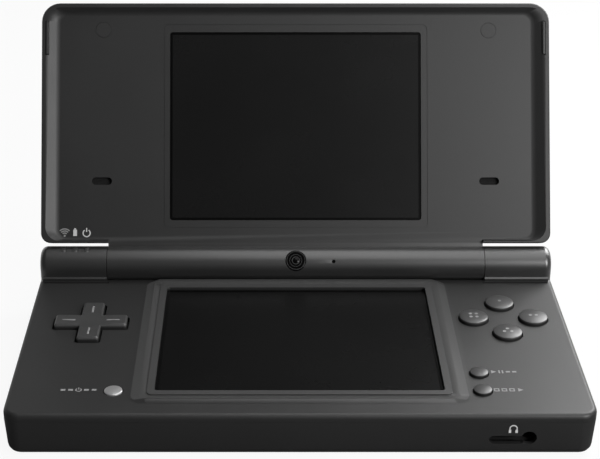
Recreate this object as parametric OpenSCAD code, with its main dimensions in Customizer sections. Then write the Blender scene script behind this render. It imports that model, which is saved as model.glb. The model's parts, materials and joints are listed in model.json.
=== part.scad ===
// Clamshell handheld game console, lid open.
// X runs across, +Y to the hinge, +Z up. The origin is the middle of the base's
// footprint, in the plane that its rubber feet stand on.
// The lid's pieces are drawn lying flat, inner face up, with the hinge axis on X,
// Y along the lid and Z out of its inner face, and on_lid() raises them.

/* [Overall] */
// Width of the base
base_w = 137; // [136:0.5:139]
// Depth from the front edge to the back of the hinge
base_d = 74.9; // [74.4:0.1:76]
// Opening angle of the lid, 0 when it is closed
lid_open = 117.2; // [95:0.1:150]
// How far the rubber feet stand out of the underside
foot_h = 0.4; // [0.3:0.1:0.6]

/* [Base shell] */
// Height of the flat deck above the table
deck_z = 11.7; // [11.6:0.1:12]
// Corner radius of the base at the front, seen from above
front_r = 4; // [3.8:0.1:5]
// Corner radius of the base at the hinge, seen from above
rear_r = 4; // [3.9:0.1:4.5]
// Rounding of the bottom edge
edge_r = 2; // [1.8:0.1:2.2]
// How far the side walls draw in towards the underside
taper = 0.4; // [0.3:0.05:0.5]
// Wall thickness of the shells
wall = 1.3; // [1.2:0.05:1.4]
// Height of the seam between the two base covers
seam_z = 9.7; // [9.4:0.1:10]

/* [Hinge] */
// Radius of the hinge barrel and its knuckles
barrel_r = 4.7; // [4.6:0.05:4.8]
// Height of the hinge axis above the table
hinge_z = 14.45; // [14.4:0.05:14.6]
// Half the length of the barrel between the knuckles
barrel_half = 50.4; // [49:0.1:51]
// Rounding of the knuckles' outer ends
knuckle_r = 1.8; // [1.2:0.1:2.2]
// Radius of the hinge pins
pin_r = 2; // [1.8:0.05:2.1]

/* [Lid] */
// Width of the lid
lid_w = 136.8; // [136:0.2:137]
// Distance from the hinge axis to the lid's lower edge
lid_start = 5.47; // [5.3:0.05:5.6]
// Distance from the hinge axis to the lid's free edge
lid_end = 70.2; // [69.8:0.1:70.4]
// Height of the lid's rim over the hinge axis, lid lying flat
lid_rim = 2.4; // [2.2:0.05:2.45]
// Height of the recessed inner panel over the hinge axis
lid_panel = 1; // [0.95:0.05:1.2]
// Depth of the lid's outer face under the hinge axis
lid_back = 4.84; // [4.8:0.02:5]
// Corner radius of the lid's free corners
lid_r = 5; // [4.5:0.1:5.2]

/* [Screens] */
// Width of the lower window
lower_win_w = 68.2; // [66:0.1:69]
// Height of the lower window
lower_win_h = 51.1; // [50:0.1:51.4]
// Middle of the lower window, measured from the middle of the base
lower_win_y = -2.15; // [-2.3:0.05:-1.9]
// How far the raised frame round the lower window stands up
bezel_rise = 0.6; // [0.5:0.05:0.8]
// Width of the upper window
upper_win_w = 67.8; // [66:0.1:69]
// Height of the upper window
upper_win_h = 50.9; // [50:0.1:52]
// Distance from the hinge axis to the middle of the upper window
upper_win_s = 37.1; // [36.8:0.1:37.4]

/* [Controls] */
// Middle of the direction pad
dpad_xy = [-52.3, 4.85]; // [-53:0.05:6]
// Length of the direction pad from tip to tip
dpad_span = 18.2; // [17.4:0.1:18.4]
// Width of one arm of the direction pad
dpad_arm = 5.4; // [5:0.1:6]
// Middle of the four face buttons
face_xy = [52.6, 7.2]; // [6.4:0.05:53]
// Distance from that middle to each face button
face_pitch = 7.6; // [7.4:0.1:8]
// Radius of a face button
face_r = 3.6; // [3.2:0.1:3.7]
// How far a face button stands out of the deck
face_rise = 1.2; // [1:0.1:1.3]
// Place of the start button
start_xy = [43.05, -19.35]; // [-20:0.05:44]
// Place of the select button
select_xy = [42.95, -27.15]; // [-28:0.05:44]
// How far the start and select buttons stand out of the deck
small_rise = 0.85; // [0.6:0.05:0.9]
// Place of the power button
power_xy = [-43.7, -27]; // [-45:0.1:-26]
// Radius of the start, select and power buttons
small_r = 2.15; // [2:0.05:2.3]

/* [Sockets and slots] */
// Place of the headphone jack along the front
jack_x = 52.7; // [51:0.1:54]
// Height of the jack's axis above the table
jack_z = 5.4; // [5.2:0.1:5.5]
// Radius of the jack's bore, for a 3.5 mm plug
jack_r = 1.8; // [1.75:0.01:1.85]
// Radius of the stylus
stylus_r = 2.1; // [1.8:0.1:2.1]
// Width of the game card's slot
card_w = 33.4; // [33:0.1:34]
// Height of the game card's slot
card_h = 3.9; // [3.8:0.05:3.95]
// Width of the memory card's slot
memory_w = 24.3; // [24.2:0.1:24.5]
// Height of the memory card's slot
memory_h = 2.3; // [2.2:0.1:2.4]

/* [Inside] */
// Underside of the main board
board_z = 6.9; // [6.8:0.05:7]
// Thickness of the main board
board_t = 0.8; // [0.6:0.1:0.8]
// Size of the battery
battery_size = [34, 42, 4.6]; // [4:0.2:42]

/* [Hidden] */
$fn = 48;
hull_fn = 32;
running_gap = 0.05;
shell_black = [0.2, 0.2, 0.21];
dark = [0.08, 0.08, 0.09];
steel = [0.72, 0.72, 0.74];
glass_black = [0.03, 0.03, 0.035];
rubber_grey = [0.25, 0.25, 0.26];
board_green = [0.08, 0.3, 0.16];

floor_z = foot_h + wall;
deck_under = deck_z - wall;
widest_z = 8.7;
deck_edge_r = 1.1;
beam_y = 26.5;
beam_z = 8;
seam_gap = 0.06;
hinge_y = base_d / 2 - barrel_r;
trough_r = barrel_r + 0.45;
side_gap = 0.15;
knuckle_end = base_w / 2 - 0.1;
knuckle_bore_r = 3.4;
knuckle_bore_end = knuckle_end - 1.8;
bush_end = barrel_half - 6;
barrel_wall = 1.2;
lid_seam = -0.2;
board_top = board_z + board_t;
dpad_flange_r = dpad_span / 2 + 0.9;
dpad_flange_z = board_top + 1.2;
dpad_top = dpad_flange_z + 4.05;
dpad_gap = 0.55;
dpad_ball_r = 1.1;
dpad_pivot_z = board_top + 0.05 + dpad_ball_r;
small_xy = [start_xy, select_xy];
bezel_z = deck_z + bezel_rise;
glass_top = bezel_z - 1;
glass_t = 0.8;
half_w = base_w / 2;
front_y = -base_d / 2;
rear_y = base_d / 2;
stylus_y = -4.6;
stylus_z = floor_z + 2.6;
stylus_len = 91;
stylus_end = half_w - 0.9;
silo_r = stylus_r + 0.45;
card_x = -1;
card_z = 2.75;
card_depth = 32;
charge_x = 30;
charge_z = 4.7;
memory_y = 11.2;
memory_z = 3.25;
door_r = 1.3;
door_pivot = [half_w - 1.4, memory_y + memory_w / 2 + door_r + 0.1];
door_low = 3.05;
door_high = 5.8;
volume_y = -10;
volume_z = 5.6;
volume_len = 13;
shoulder_x = 46;
shoulder_y = 27.3;
shoulder_pivot = [48, 33.9];
shoulder_top = 7.6;
shoulder_bottom = 2.3;
case_screws = [[-61.5, -26], [61.5, -26], [-61.5, 20], [61.8, -13]];
rear_screws = [[-40, 29.3], [40, 29.3]];
front_feet = [[-57.5, -29.3], [57.5, -29.3]];
foot_r = 2.7;
bay_mid = [-42.6, -3.2];
bay_size = [battery_size.x + 2.4, battery_size.y + 2.4];
cover_t = 0.8;
cover_tab = 5.4;
cover_screw_y = bay_mid.y + bay_size.y / 2 + 2.7;
cover_screws = [[bay_mid.x - 9, cover_screw_y], [bay_mid.x + 9, cover_screw_y]];
camera_tilt = 10.8;
camera_r = 2.75;
mic_x = 10.1;
mic_tilt = 6.9;
light_x = [-62.2, -59.1, -56];
speaker_place = [52.2, 22.2];
speaker_slot = [5.4, 2];
lid_screw_place = [[-51.9, 63.2], [52.2, 63]];
back_camera = [57, 53];
back_light = [57, 60.2];

// ---------- Shapes that repeat ----------

function arc_points(middle, r, from, to, steps) = [
    for (i = [0:steps])
        let (a = from + (to - from) * i / steps)
        [middle.x + r * cos(a), middle.y + r * sin(a)]
];

module rounded_rect(size, r) {
    square([size.x - 2 * r, size.y], center = true);
    square([size.x, size.y - 2 * r], center = true);
    for (sx = [-1, 1], sy = [-1, 1])
        translate([sx * (size.x / 2 - r), sy * (size.y / 2 - r)]) circle(r = r);
}

module obround(length, width) {
    square([length - width, width], center = true);
    for (s = [-1, 1]) translate([s * (length - width) / 2, 0]) circle(d = width);
}

// A rounded plate standing on the plane z, centred on at
module plate(at, size, r, z, h) {
    translate([at.x, at.y, z]) linear_extrude(h) rounded_rect(size, r);
}

// A box from its lowest to its highest corner
module block(low, high) {
    translate(low) cube(high - low);
}

// Stands a flat outline in the YZ plane and extrudes it along X
module along_x(from, to) {
    translate([from, 0, 0]) rotate([90, 0, 90]) linear_extrude(to - from) children();
}

module both_sides() {
    children();
    mirror([1, 0, 0]) children();
}

module on_lid() {
    translate([0, hinge_y, hinge_z]) rotate([180 - lid_open, 0, 0]) children();
}

// Points radially out of the barrel, tilted up the lid from its inner face
module on_barrel(x, tilt) {
    translate([x, 0, 0]) rotate([-tilt, 0, 0]) children();
}

// ---------- The base's outer form ----------

// Half section of a corner post: flat underside, rounded edge, tapered wall, deck edge
function base_section(r, edge, inset) = concat(
    [[0, foot_h + inset]],
    arc_points([r - taper - edge, foot_h + inset + edge], edge, -90, 0, 4),
    [[r, widest_z]],
    arc_points([r - deck_edge_r, deck_z - inset - deck_edge_r], deck_edge_r, 0, 90, 4),
    [[0, deck_z - inset]]
);

module base_corner(x, y, r, inset) {
    edge = max(edge_r - inset, 0.1);
    translate([x, y, 0])
        rotate_extrude($fn = hull_fn) polygon(base_section(r - inset, edge, inset));
}

// The whole base as one rounded block, drawn in by inset on every side
module base_form(inset) {
    hull() for (s = [-1, 1]) {
        base_corner(s * (half_w - front_r), front_y + front_r, front_r, inset);
        base_corner(s * (half_w - rear_r), rear_y - rear_r, rear_r, inset);
    }
}

// Room for the lid's barrel, open to the back so that the lid can lean over
module barrel_trough() {
    reach = barrel_half + side_gap;
    translate([0, hinge_y, hinge_z]) along_x(-reach, reach) {
        circle(r = trough_r);
        translate([0, -trough_r]) square([base_d, 3 * trough_r]);
    }
}

// ---------- Base covers ----------

// A knuckle is a round-topped block with softened outer edges
module knuckle() {
    from = barrel_half + side_gap;
    flat_end = knuckle_end - knuckle_r;
    translate([0, hinge_y, hinge_z]) hull() {
        along_x(from, flat_end) knuckle_outline(0);
        for (a = [15:15:90])
            along_x(flat_end, flat_end + knuckle_r * sin(a))
                knuckle_outline(knuckle_r * (1 - cos(a)));
    }
}

module knuckle_outline(inset) {
    depth = hinge_z - beam_z;
    circle(r = barrel_r - inset, $fn = hull_fn);
    translate([inset - barrel_r, -depth]) square([2 * (barrel_r - inset), depth]);
}

// Small step that runs along the foot of each knuckle
module knuckle_ledge() {
    front = hinge_y - barrel_r;
    translate([barrel_half + side_gap, 0, 0]) rotate([90, 0, 90])
        linear_extrude(knuckle_end - barrel_half - side_gap - knuckle_r / 2)
            polygon([[front - 0.35, deck_z - 0.5], [front - 0.35, deck_z + 0.7],
                     [front + 0.05, deck_z + 1.15], [front + 1, deck_z - 0.5]]);
}

// Raised frame round the lower window, steep in front and with soft slopes at the sides
module screen_bezel() {
    top_size = [75.6, 59.65];
    rear = hinge_y - barrel_r;
    mid_y = rear - top_size.y / 2;
    foot_size = top_size + [5.4, 1.3];
    hull() {
        plate([0, rear - foot_size.y / 2], foot_size, 4.5, deck_z - 0.3, 0.3);
        plate([0, mid_y], top_size, 2, deck_z, bezel_rise - 0.2);
        plate([0, mid_y], top_size - [0.5, 0.5], 1.8, bezel_z - 0.2, 0.2);
    }
}

// Shallow channel in the top of the bezel: a step down outside the window's flat rim,
// and a slope that climbs from there to the bezel's outer edge
module bezel_channel() {
    depth = 0.3;
    rim = [lower_win_w + 3.6, lower_win_h + 3.6];
    ridge = [lower_win_w + 6.9, lower_win_h + 6.9];
    difference() {
        hull() {
            plate([0, lower_win_y], rim, 1.4, bezel_z - depth, 0.01);
            plate([0, lower_win_y], ridge, 1.6, bezel_z, 1);
        }
        plate([0, lower_win_y], rim - [0.2, 0.2], 1.3, 0, 20);
    }
}

module cross_outline(span, arm, r) {
    rounded_rect([span, arm], r);
    rounded_rect([arm, span], r);
}

module face_places() {
    for (i = [0:3]) translate(face_place(i)) children();
}

function face_place(i) = face_xy + face_pitch * [sin(90 * i), cos(90 * i)];

module base_top_cover() {
    color(shell_black) difference() {
        union() {
            difference() {
                union() {
                    base_form(0);
                    screen_bezel();
                    both_sides() knuckle();
                    both_sides() knuckle_ledge();
                }
                block([-half_w - 1, front_y - 1, -1], [half_w + 1, beam_y, seam_z]);
                block([-half_w - 1, beam_y - 1, -1], [half_w + 1, rear_y + 1, beam_z]);
                plate([0, (front_y + beam_y) / 2], [base_w - 2 * wall, beam_y - front_y - 2 * wall],
                      front_r - wall, 0, deck_under);
            }
            for (p = case_screws)
                translate([p.x, p.y, board_top + 0.3])
                    cylinder(r = 2.2, h = deck_under - board_top);
        }
        barrel_trough();
        both_sides() block([barrel_half - 0.5, hinge_y - barrel_r - 1.5, deck_z - 0.45],
                           [half_w - 1.2, hinge_y - barrel_r - 0.75, deck_z + 0.1]);
        plate([0, lower_win_y], [lower_win_w, lower_win_h], 0.8, 5, 20);
        plate([0, lower_win_y], [lower_win_w + 3, lower_win_h + 2.6], 1, 5, glass_top - 5);
        bezel_channel();
        translate([dpad_xy.x, dpad_xy.y, 5]) linear_extrude(20)
            cross_outline(dpad_span + 2 * dpad_gap, dpad_arm + 2 * dpad_gap, 0.9);
        face_places() translate([0, 0, 5]) cylinder(r = face_r + 0.3, h = 20);
        for (p = concat(small_xy, [power_xy]))
            translate([p.x, p.y, 5]) cylinder(r = small_r + 0.25, h = 20);
        both_sides() translate([0, hinge_y, hinge_z])
            along_x(barrel_half, knuckle_bore_end) circle(r = knuckle_bore_r);
        status_light_slots(0.05);
        for (p = concat(case_screws, rear_screws))
            translate([p.x, p.y, 5]) cylinder(r = 0.76, h = deck_under - 5.4);
        both_sides() translate([shoulder_pivot.x, shoulder_pivot.y, 5])
            cylinder(r = 0.82, h = beam_z - 4.4);
    }
}

// Opening of the jack and the slot beside it, standing in the front wall
module jack_outline() {
    translate([jack_x, jack_z]) circle(r = jack_r);
    translate([jack_x - 5.1, jack_z - 0.55]) obround(8.3, 2.3);
}

module screw_boss(p) {
    translate([p.x, p.y, floor_z - 0.3]) cylinder(r = 2.8, h = board_z - 0.2 - floor_z);
}

module base_bottom_cover() {
    color(shell_black) difference() {
        union() {
            difference() {
                base_form(0);
                base_form(wall);
                block([-half_w - 1, front_y - 1, seam_z - seam_gap], [half_w + 1, beam_y, 20]);
                block([-half_w - 1, beam_y - seam_gap, beam_z - seam_gap],
                      [half_w + 1, rear_y + 1, 20]);
            }
            for (p = concat(case_screws, rear_screws)) screw_boss(p);
            for (p = cover_screws)
                translate([p.x, p.y, floor_z - 0.3]) cylinder(r = 2.4, h = 2.4);
        }
        plate(bay_mid, bay_size, 2, -1, 10);
        plate(bay_mid + [0, cover_tab / 2], bay_size + [1.6, cover_tab + 1.6], 3,
              -1, foot_h + cover_t + 1.05);
        translate([0, front_y + 4, 0]) rotate([90, 0, 0]) linear_extrude(10) jack_outline();
        translate([card_x, rear_y - 4, card_z + card_h / 2]) rotate([-90, 0, 0])
            linear_extrude(10) square([card_w + 0.2, card_h + 0.1], center = true);
        translate([charge_x, rear_y - 4, charge_z]) rotate([-90, 0, 0])
            linear_extrude(10) rounded_rect([6.2, 2.8], 0.6);
        block([half_w - 4, memory_y - 12.5, door_low - 0.2],
              [half_w + 1, door_pivot.y, door_high + 0.2]);
        block([door_pivot.x, memory_y, door_low - 0.2],
              [half_w + 1, door_pivot.y + door_r + 0.15, door_high + 0.2]);
        translate([door_pivot.x, door_pivot.y, door_low - 0.2])
            cylinder(r = door_r + 0.15, h = door_high - door_low + 0.4);
        translate([0, stylus_y, stylus_z]) along_x(half_w - 6, half_w + 1)
            circle(r = stylus_r + 0.15);
        translate([-half_w - 1, volume_y, volume_z]) rotate([90, 0, 90])
            linear_extrude(5) obround(volume_len + 0.8, 3.2);
        both_sides() block([shoulder_x - 0.3, shoulder_y - 1.5, shoulder_bottom - 0.3],
                           [half_w + 1, rear_y + 1, 20]);
        for (p = concat(front_feet, rear_screws))
            translate([p.x, p.y, -1]) cylinder(r = foot_r + 0.05, h = 1.8);
        for (p = concat(case_screws, rear_screws)) translate([p.x, p.y, -1]) {
            cylinder(r = 1.7, h = 4);
            cylinder(r = 0.85, h = 10);
        }
        for (p = cover_screws) translate([p.x, p.y, -1]) cylinder(r = 0.7, h = 4.4);
        both_sides() translate([shoulder_pivot.x, shoulder_pivot.y, 1.1])
            cylinder(r = 0.82, h = 5);
    }
}

// Door over the battery, flush with the underside
module battery_cover() {
    color(shell_black) difference() {
        plate(bay_mid + [0, cover_tab / 2], bay_size + [1.3, cover_tab + 1.3], 2.9, foot_h, cover_t);
        for (p = cover_screws) translate([p.x, p.y, -1]) {
            cylinder(r = 0.8, h = 5);
            cylinder(r = 1.65, h = foot_h + 1.6);
        }
    }
}

module battery_cover_screws() {
    color(steel) for (p = cover_screws) translate([p.x, p.y, foot_h + 0.1]) {
        cylinder(r = 1.55, h = 0.5);
        cylinder(r = 0.7, h = 2.4);
    }
}

module base_screws() {
    color(steel) {
        for (p = case_screws) translate([p.x, p.y, 2.2]) {
            cylinder(r = 1.5, h = 0.8);
            cylinder(r = 0.75, h = 7.2);
        }
        for (p = rear_screws) translate([p.x, p.y, 2.2]) {
            cylinder(r = 1.5, h = 0.8);
            cylinder(r = 0.75, h = 7);
        }
    }
}

// The two rear feet also cover screws
module rubber_feet() {
    color(rubber_grey) for (p = concat(front_feet, rear_screws))
        translate([p.x, p.y, 0])
            rotate_extrude() polygon([[0, 0], [foot_r - 0.3, 0], [foot_r, 0.3],
                                      [foot_r, 0.75], [0, 0.75]]);
}

// ---------- Inside the base ----------

module battery() {
    color([0.16, 0.17, 0.2])
        plate(bay_mid, [battery_size.x, battery_size.y], 1.5, floor_z + 0.3, battery_size.z);
}

module main_board() {
    board_rear = beam_y - 0.6;
    board_front = front_y + 3.2;
    color(board_green) difference() {
        plate([0, (board_front + board_rear) / 2], [126, board_rear - board_front], 2,
              board_z, board_t);
        block([jack_x - 10, front_y, 0], [jack_x + 4, front_y + 15, 20]);
        for (p = case_screws) translate([p.x, p.y, 0]) cylinder(r = 3.2, h = 20);
        both_sides() translate([shoulder_x, shoulder_y - 5, 0]) cube([30, 10, 20]);
    }
}

module wireless_board() {
    color([0.1, 0.22, 0.4]) block([-19, -32, board_z - 1.9], [3, -17, board_z - 0.1]);
}

module lower_display() {
    color(dark) plate([0, lower_win_y], [lower_win_w + 2.8, lower_win_h + 2.4], 0.8,
                      board_top + 0.1, glass_top - glass_t - board_top - 0.2);
}

module touch_window() {
    color(glass_black) plate([0, lower_win_y], [lower_win_w + 2.8, lower_win_h + 2.4], 0.9,
                             glass_top - glass_t, glass_t - 0.02);
}

// ---------- Direction pad ----------

// Rubber sheet with a contact dome under each arm
module dpad_membrane() {
    color(rubber_grey) translate([dpad_xy.x, dpad_xy.y, board_top]) difference() {
        union() {
            cylinder(r = dpad_flange_r + 0.6, h = 0.2);
            for (a = [0:90:270]) rotate(a) translate([6.3, 0, 0]) cylinder(r1 = 1.7, r2 = 1.2, h = 0.5);
        }
        translate([0, 0, -1]) cylinder(r = dpad_ball_r + 0.5, h = 3);
    }
}

// Round nub that the pad rocks on
module dpad_pivot() {
    color(dark) translate([dpad_xy.x, dpad_xy.y, dpad_pivot_z]) sphere(r = dpad_ball_r);
}

module dpad_bar(turn) {
    low = dpad_flange_z + 0.4;
    rotate(turn) hull() {
        plate([0, 0], [dpad_span, dpad_arm], 0.5, low, dpad_top - 0.4 - low, $fn = 16);
        plate([0, 0], [dpad_span - 0.8, dpad_arm - 0.8], 0.4, low, dpad_top - low, $fn = 16);
    }
}

module dpad() {
    dish_r = 60;
    color(shell_black) translate([dpad_xy.x, dpad_xy.y, 0]) difference() {
        union() {
            translate([0, 0, dpad_flange_z]) cylinder(r = dpad_flange_r, h = 0.8);
            dpad_bar(0);
            dpad_bar(90);
        }
        translate([0, 0, dpad_top + dish_r - 0.3]) sphere(r = dish_r, $fn = 96);
        for (a = [0:90:270]) rotate(a) translate([5.6, 0, dpad_top - 0.35])
            linear_extrude(1) obround(3.6, 0.5);
        translate([0, 0, dpad_pivot_z]) sphere(r = dpad_ball_r + running_gap);
    }
}

// ---------- Buttons ----------

// A domed cap on a flange that the deck keeps in, with a stem for the rubber below
module button(r, top, flange_r, stem_r, stem_end, dome) {
    dome_r = (r * r + dome * dome) / (2 * dome);
    flange_top = deck_under - 0.3;
    intersection() {
        translate([0, 0, flange_top - 0.4]) cylinder(r = r, h = top);
        translate([0, 0, top - dome_r]) sphere(r = dome_r, $fn = 96);
    }
    translate([0, 0, flange_top - 0.8]) cylinder(r = flange_r, h = 0.8);
    translate([0, 0, stem_end]) cylinder(r = stem_r, h = flange_top - stem_end - 0.4);
}

module membrane_collar(inner, outer, h) {
    translate([0, 0, 0.1]) difference() {
        cylinder(r = outer, h = h);
        translate([0, 0, 0.1]) cylinder(r = inner, h = h + 1);
    }
}

module face_button_membrane() {
    color(rubber_grey) {
        translate([face_xy.x, face_xy.y, board_top])
            cylinder(r = face_pitch + 3.4, h = 0.2);
        face_places() translate([0, 0, board_top]) membrane_collar(1.8, 3, 0.55);
    }
}

module face_button(i) {
    place = face_place(i);
    color(shell_black) translate([place.x, place.y, 0])
        button(face_r, deck_z + face_rise, face_r + 0.9, 1.5, board_top + 1.1, 0.35);
}

module face_button_top() face_button(0);
module face_button_right() face_button(1);
module face_button_bottom() face_button(2);
module face_button_left() face_button(3);

module small_button_membrane() {
    color(rubber_grey) {
        for (p = small_xy) translate([p.x, p.y, board_top]) {
            cylinder(r = 3, h = 0.2);
            membrane_collar(1.3, 2.2, 0.5);
        }
        block([select_xy.x - 1.5, select_xy.y, board_top],
              [select_xy.x + 1.5, start_xy.y, board_top + 0.2]);
    }
}

module start_button() {
    color(shell_black) translate([start_xy.x, start_xy.y, 0])
        button(small_r, deck_z + small_rise, small_r + 0.7, 1, board_top + 0.8, 0.2);
}

module select_button() {
    color(shell_black) translate([select_xy.x, select_xy.y, 0])
        button(small_r, deck_z + small_rise, small_r + 0.7, 1, board_top + 0.8, 0.2);
}

module power_button() {
    color(steel) translate([power_xy.x, power_xy.y, 0])
        button(small_r, deck_z + 0.4, small_r + 0.7, 1, board_top + 1.4, 0.25);
}

module power_switch() {
    color(steel) translate([power_xy.x, power_xy.y, board_top]) {
        plate([0, 0], [3.4, 3.4], 0.3, 0, 0.5);
        cylinder(r = 0.8, h = 0.8);
    }
}

// ---------- Sockets and slots ----------

module headphone_jack() {
    mouth = front_y + 3;
    color(dark) difference() {
        union() {
            block([jack_x - 9.6, mouth, jack_z - 2.3], [jack_x + 2.9, mouth + 6, jack_z + 1.1]);
            block([jack_x - 2.9, mouth, jack_z - 2.5], [jack_x + 2.9, mouth + 11.4, jack_z + 2.5]);
        }
        translate([jack_x, mouth + 10.6, jack_z]) rotate([90, 0, 0]) cylinder(r = jack_r, h = 20);
        translate([jack_x - 5.6, mouth + 5, jack_z - 0.55]) rotate([90, 0, 0])
            linear_extrude(20) obround(6.4, 1.9);
    }
}

module charging_socket() {
    mouth = rear_y - 2.3;
    color(steel) difference() {
        block([charge_x - 3.6, mouth - 5, charge_z - 1.8], [charge_x + 3.6, mouth, charge_z + 1.8]);
        difference() {
            block([charge_x - 3, mouth - 4.4, charge_z - 1.2], [charge_x + 3, mouth + 1, charge_z + 1.2]);
            block([charge_x - 2, mouth - 4.4, charge_z - 0.3], [charge_x + 2, mouth - 0.6, charge_z + 0.3]);
        }
    }
}

// Open-backed housing with a comb of contact strips at its inner end
module card_slot() {
    mouth = rear_y - 2.3;
    color(dark) difference() {
        block([card_x - card_w / 2 - 0.8, mouth - card_depth - 0.8, card_z - 0.5],
              [card_x + card_w / 2 + 0.8, mouth, board_z - 0.05]);
        block([card_x - card_w / 2, mouth - card_depth, card_z],
              [card_x + card_w / 2, mouth + 1, card_z + card_h]);
    }
    color([0.8, 0.65, 0.3]) for (i = [-8:8])
        block([card_x + i * 1.8 - 0.4, mouth - card_depth - 0.1, card_z - 0.1],
              [card_x + i * 1.8 + 0.4, mouth - card_depth + 5, card_z + 0.35]);
}

module memory_card_reader() {
    mouth = half_w - 2.9;
    color(steel) difference() {
        block([mouth - 26, memory_y - memory_w / 2 - 0.4, memory_z - 0.4],
              [mouth, memory_y + memory_w / 2 + 0.4, memory_z + memory_h + 0.4]);
        block([mouth - 25, memory_y - memory_w / 2, memory_z],
              [mouth + 1, memory_y + memory_w / 2, memory_z + memory_h]);
    }
}

// Flap that carries on the side wall's slope and swings out on its rear end
module memory_card_door() {
    color(shell_black) intersection() {
        base_form(0.1);
        union() {
            block([door_pivot.x - 0.5, memory_y - 12.3, door_low],
                  [half_w + 1, door_pivot.y, door_high]);
            translate([door_pivot.x, door_pivot.y, door_low])
                cylinder(r = door_r, h = door_high - door_low);
        }
    }
}

module stylus_holder() {
    color(dark) translate([0, stylus_y, stylus_z])
        along_x(stylus_end - stylus_len - 1.4, half_w - 4.7) difference() {
            circle(r = silo_r);
            circle(r = stylus_r + 0.15);
        }
}

// Turned body with a grip groove, a rounded head and a worn-soft tip
module stylus() {
    color(shell_black) translate([stylus_end, stylus_y, stylus_z]) rotate([0, -90, 0])
        rotate_extrude() polygon(concat(
            [[0, 0]],
            arc_points([stylus_r - 0.5, 0.5], 0.5, -90, 0, 3),
            [[stylus_r, 3], [stylus_r - 0.35, 3.3], [stylus_r - 0.35, 4], [stylus_r, 4.3],
             [stylus_r, stylus_len - 12], [stylus_r - 0.7, stylus_len - 5],
             [0.9, stylus_len - 1.2]],
            arc_points([0, stylus_len - 0.9], 0.9, 0, 90, 4)
        ));
}

// Cap with a flange behind the wall, rocking on two short pins above and below
module volume_rocker() {
    color(shell_black) translate([0, volume_y, volume_z]) {
        along_x(0.2 - half_w, 5 - half_w) obround(volume_len, 2.4);
        along_x(2.9 - half_w, 3.6 - half_w) obround(volume_len + 2.2, 3);
        translate([3.25 - half_w, 0, -2.2]) cylinder(r = 0.5, h = 4.4);
    }
}

module volume_switch() {
    color(steel) block([5.5 - half_w, volume_y - 5.5, volume_z - 1.5],
                       [6.8 - half_w, volume_y + 5.5, board_z - 0.05]);
}

// ---------- Shoulder buttons ----------

module shoulder_button() {
    skin = 1.7;
    lug_r = 1.75;
    color(shell_black) difference() {
        union() {
            difference() {
                intersection() {
                    base_form(0.1);
                    block([shoulder_x, shoulder_y, shoulder_bottom],
                          [half_w + 1, rear_y + 1, shoulder_top]);
                }
                base_form(skin);
            }
            translate([shoulder_pivot.x, shoulder_pivot.y, shoulder_bottom + 0.1])
                cylinder(r = lug_r, h = shoulder_top - shoulder_bottom - 0.2);
            block([60, rear_y - 4.2, 3.6], [62.4, rear_y - 2, 6.4]);
        }
        translate([shoulder_pivot.x, shoulder_pivot.y, 0])
            cylinder(r = 0.8 + running_gap, h = 20);
    }
}

module shoulder_button_right() shoulder_button();
module shoulder_button_left() mirror([1, 0, 0]) shoulder_button();

module shoulder_pins() {
    color(steel) both_sides() translate([shoulder_pivot.x, shoulder_pivot.y, 1.2])
        cylinder(r = 0.8, h = 7.3);
}

// Coil of the return spring, beside each pivot
module shoulder_springs() {
    color(steel) both_sides() translate([shoulder_pivot.x + 0.4, shoulder_pivot.y - 4, 3.2])
        difference() {
            cylinder(r = 1.3, h = 3);
            translate([0, 0, -1]) cylinder(r = 0.9, h = 5);
        }
}

module shoulder_switches() {
    color(steel) both_sides() block([59.4, rear_y - 7.4, 3.2], [63, rear_y - 5.4, 6.8]);
}

// ---------- Hinge ----------

// Sprung clutch that holds the lid at its angle, with its shaft in the lid's barrel
module hinge_clutch() {
    color(steel) translate([0, hinge_y, hinge_z]) {
        along_x(-knuckle_bore_end + 0.1, -barrel_half - side_gap) circle(r = knuckle_bore_r - 0.05);
        along_x(-barrel_half - side_gap - 0.1, -bush_end - 0.5) circle(r = pin_r);
    }
}

// Hollow pin that lets the lid's cable through
module hinge_pin() {
    color(steel) translate([0, hinge_y, hinge_z]) difference() {
        union() {
            along_x(barrel_half + side_gap, knuckle_bore_end - 0.1)
                circle(r = knuckle_bore_r - 0.05);
            along_x(bush_end + 0.5, barrel_half + side_gap + 0.1) circle(r = pin_r);
        }
        along_x(bush_end, knuckle_bore_end) circle(r = 1.1);
    }
}

module status_light_slots(gap) {
    for (x = light_x)
        translate([0, hinge_y, hinge_z])
            block([x - 0.6 - gap, -1.7 - gap, knuckle_bore_r - 0.6],
                  [x + 0.6 + gap, 0.9 + gap, barrel_r + 1]);
}

// Three clear bars let into the top of the left knuckle
module status_lights() {
    color([0.75, 0.75, 0.7]) difference() {
        intersection() {
            status_light_slots(0);
            translate([0, hinge_y, hinge_z])
                along_x(-knuckle_end, -barrel_half) circle(r = barrel_r - 0.02);
        }
        translate([0, hinge_y, hinge_z])
            along_x(-knuckle_end, -barrel_half) circle(r = knuckle_bore_r + 0.05);
    }
}

// ---------- Lid ----------

function lid_section(r, edge, inset) = concat(
    [[0, inset - lid_back]],
    arc_points([r - edge, inset - lid_back + edge], edge, -90, 0, 5),
    [[r, lid_rim - 0.3], [r - 0.3, lid_rim], [0, lid_rim]]
);

module lid_corner(x, s, r, edge, inset) {
    translate([x, s, 0])
        rotate_extrude($fn = hull_fn) polygon(lid_section(r - inset, edge - inset, inset));
}

// The whole lid as one rounded slab, lying flat
module lid_form(inset) {
    low_r = 2.6;
    edge = 2.4;
    hull() for (side = [-1, 1]) {
        lid_corner(side * (lid_w / 2 - low_r), lid_start + low_r, low_r, edge, inset);
        lid_corner(side * (lid_w / 2 - lid_r), lid_end - lid_r, lid_r, edge, inset);
    }
}

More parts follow.
